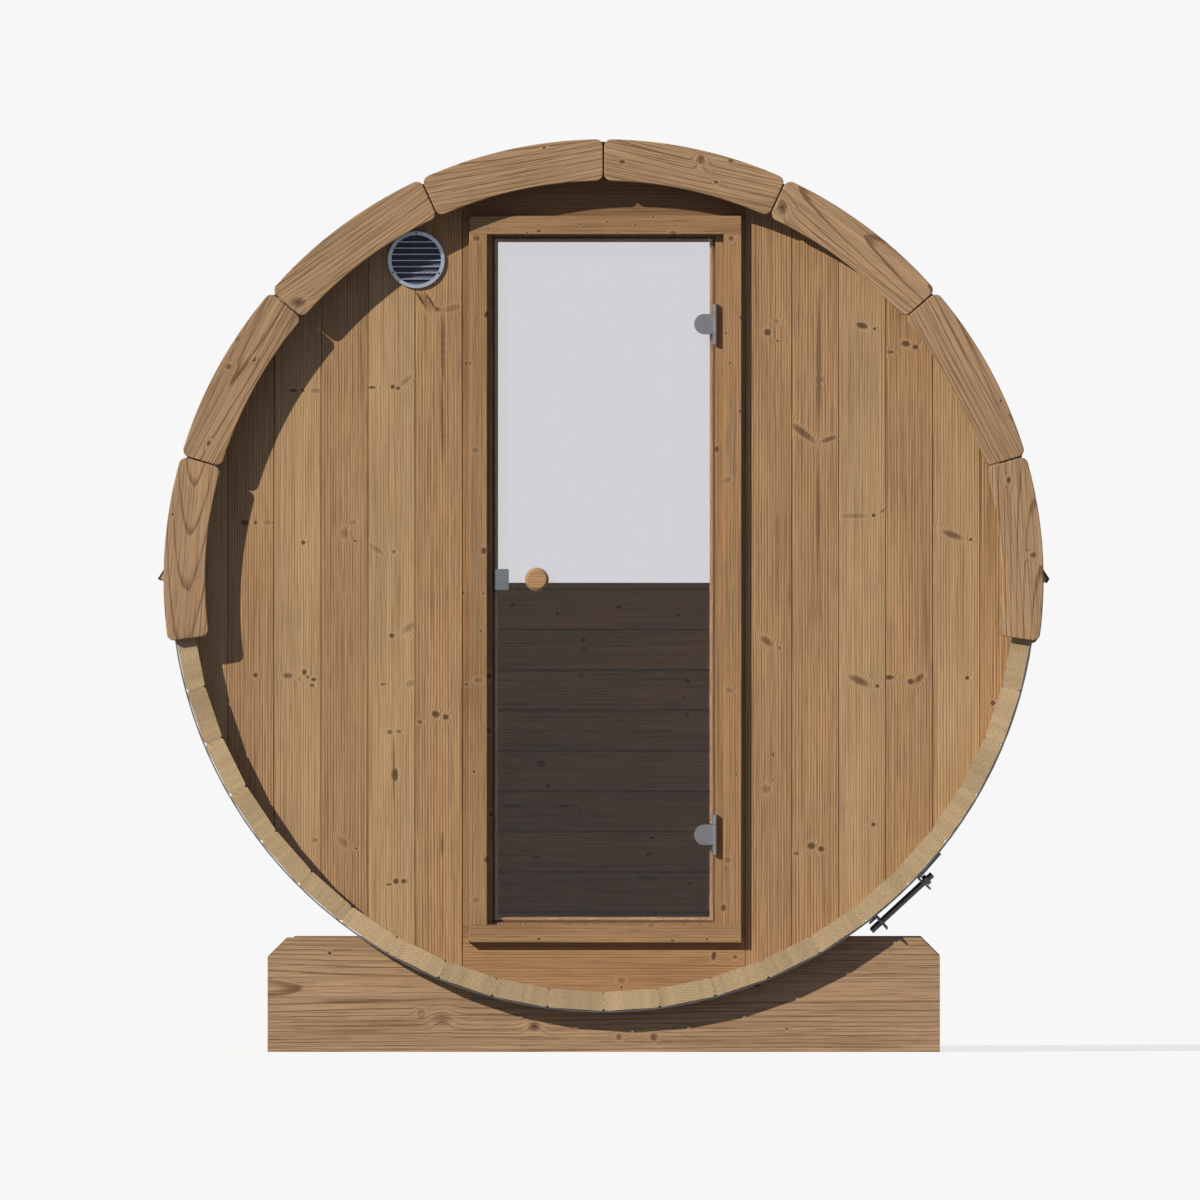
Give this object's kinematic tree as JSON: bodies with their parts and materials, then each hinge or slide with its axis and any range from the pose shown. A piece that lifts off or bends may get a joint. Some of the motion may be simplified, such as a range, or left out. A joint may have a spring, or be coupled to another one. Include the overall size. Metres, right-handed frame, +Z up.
{
  "type": "barrel sauna",
  "caption": "Wooden barrel sauna on two cradles, with a recessed board front, a hinged glass door, curved arch boards, a round vent and a half-moon rear window.",
  "frame": {"origin": "centre of the footprint on the ground, midway between the two arches", "axes": "+X right seen from the door, +Y from the door to the rear window, +Z up"},
  "size_m": [1.9622, 1.852, 2.0079],
  "materials": {
    "stave_wood": "planed heat-treated softwood",
    "wall_wood": "planed heat-treated softwood boards",
    "trim_wood": "planed heat-treated softwood trim",
    "cradle_wood": "sawn softwood plank",
    "clear_glass": "clear toughened glass",
    "hoop_steel": "stainless strap",
    "dark_steel": "dark zinc plated",
    "hinge_metal": "satin grey",
    "vent_metal": "satin grey-blue",
    "roof_felt": "black mineral felt"
  },
  "bodies": {
    "cabin": {"cradle_front": "cradle_wood", "cradle_rear": "cradle_wood", "door_casing": "trim_wood", "door_frame": "trim_wood", "eave_batten_left": "trim_wood", "eave_batten_right": "trim_wood", "floor_bearers": "wall_wood", "floor_slats": "wall_wood", "front_arch_1": "trim_wood", "front_arch_2": "trim_wood", "front_arch_3": "trim_wood", "front_arch_4": "trim_wood", "front_arch_5": "trim_wood", "front_arch_6": "trim_wood", "front_arch_7": "trim_wood", "front_arch_8": "trim_wood", "front_boards_left": "wall_wood", "front_boards_right": "wall_wood", "front_header": "wall_wood", "front_sill": "wall_wood", "hinge_bracket_lower": "hinge_metal", "hinge_bracket_upper": "hinge_metal", "hoop_front": "hoop_steel", "hoop_rear": "hoop_steel", "rear_arch": "trim_wood", "rear_boards": "wall_wood", "rear_window": "clear_glass", "roof_covering": "roof_felt", "staves_1": "stave_wood", "staves_2": "stave_wood", "staves_3": "stave_wood", "staves_4": "stave_wood", "staves_5": "stave_wood", "staves_6": "stave_wood", "staves_7": "stave_wood", "staves_8": "stave_wood", "tensioner_front": "dark_steel", "tensioner_rear": "dark_steel", "vent": "vent_metal"},
    "door": {"door_glass": "clear_glass", "door_knob": "trim_wood", "door_latch": "hinge_metal", "hinge_clamp_upper": "hinge_metal", "hinge_clamp_lower": "hinge_metal"}
  },
  "joints": [
    {"name": "door_hinge", "type": "hinge", "parent": "cabin", "child": "door", "pos_m": [0.245, -0.85, 1.04], "axis": [0, 0, 1], "range_deg": [0, 110]}
  ]
}
